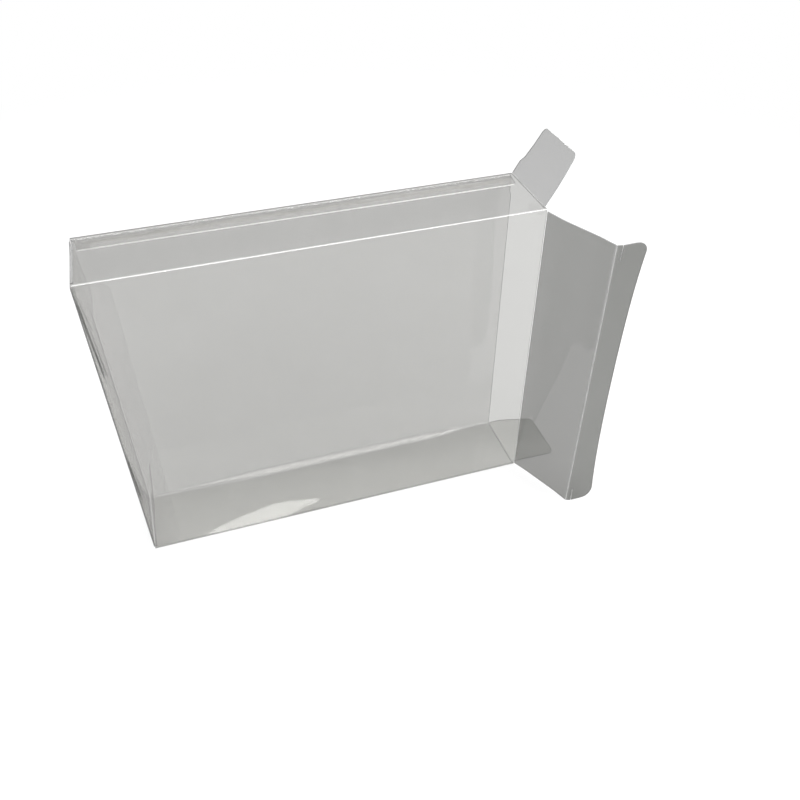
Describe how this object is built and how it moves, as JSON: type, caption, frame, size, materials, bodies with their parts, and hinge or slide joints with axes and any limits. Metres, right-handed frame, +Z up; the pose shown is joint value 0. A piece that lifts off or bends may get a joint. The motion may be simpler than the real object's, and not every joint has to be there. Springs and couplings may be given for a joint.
{
  "type": "game box protector",
  "caption": "Clear folding film sleeve with tuck flaps that protects a boxed game, one end tucked shut and the other standing open.",
  "frame": {"origin": "middle of the underside of the bottom wall, on the table", "axes": "+X along the box, from the shut end to the open end; +Y from the front wall to the back wall; +Z up"},
  "size_m": [0.2054, 0.0653, 0.1632],
  "materials": {
    "clear_film": "clear glossy film"
  },
  "bodies": {
    "sleeve": {"sleeve": "clear_film"},
    "open_end_main_flap": {"open_end_main_flap": "clear_film"},
    "open_end_tuck_tab": {"open_end_tuck_tab": "clear_film"},
    "open_end_top_dust_flap": {"open_end_top_dust_flap": "clear_film"},
    "open_end_bottom_dust_flap": {"open_end_bottom_dust_flap": "clear_film"},
    "closed_end_main_flap": {"closed_end_main_flap": "clear_film"},
    "closed_end_tuck_tab": {"closed_end_tuck_tab": "clear_film"}
  },
  "joints": [
    {"name": "open_end_flap_hinge", "type": "hinge", "parent": "sleeve", "child": "open_end_main_flap", "pos_m": [0.0894, -0.0166, 0.07135], "axis": [0, 0, 1], "range_deg": [-29, 133]},
    {"name": "open_end_tab_crease", "type": "hinge", "parent": "open_end_main_flap", "child": "open_end_tuck_tab", "pos_m": [0.10298, -0.04711, 0.07135], "axis": [0, 0, 1], "range_deg": [-50, 42]},
    {"name": "open_end_top_dust_hinge", "type": "hinge", "parent": "sleeve", "child": "open_end_top_dust_flap", "pos_m": [0.0887, 0, 0.1425], "axis": [0, 1, 0], "range_deg": [-25, 153]},
    {"name": "open_end_bottom_dust_hinge", "type": "hinge", "parent": "sleeve", "child": "open_end_bottom_dust_flap", "pos_m": [0.0887, 0, 0.0002], "axis": [0, -1, 0], "range_deg": [0, 90]},
    {"name": "closed_end_flap_hinge", "type": "hinge", "parent": "sleeve", "child": "closed_end_main_flap", "pos_m": [-0.0894, 0.0166, 0.07135], "axis": [0, 0, -1], "range_deg": [0, 80]},
    {"name": "closed_end_tab_crease", "type": "hinge", "parent": "closed_end_main_flap", "child": "closed_end_tuck_tab", "pos_m": [-0.0894, -0.01565, 0.07135], "axis": [0, 0, 1], "range_deg": [0, 50]}
  ],
  "couplings": [
    {"joint": "closed_end_tab_crease", "follows": "closed_end_flap_hinge", "ratio": 0.6}
  ]
}
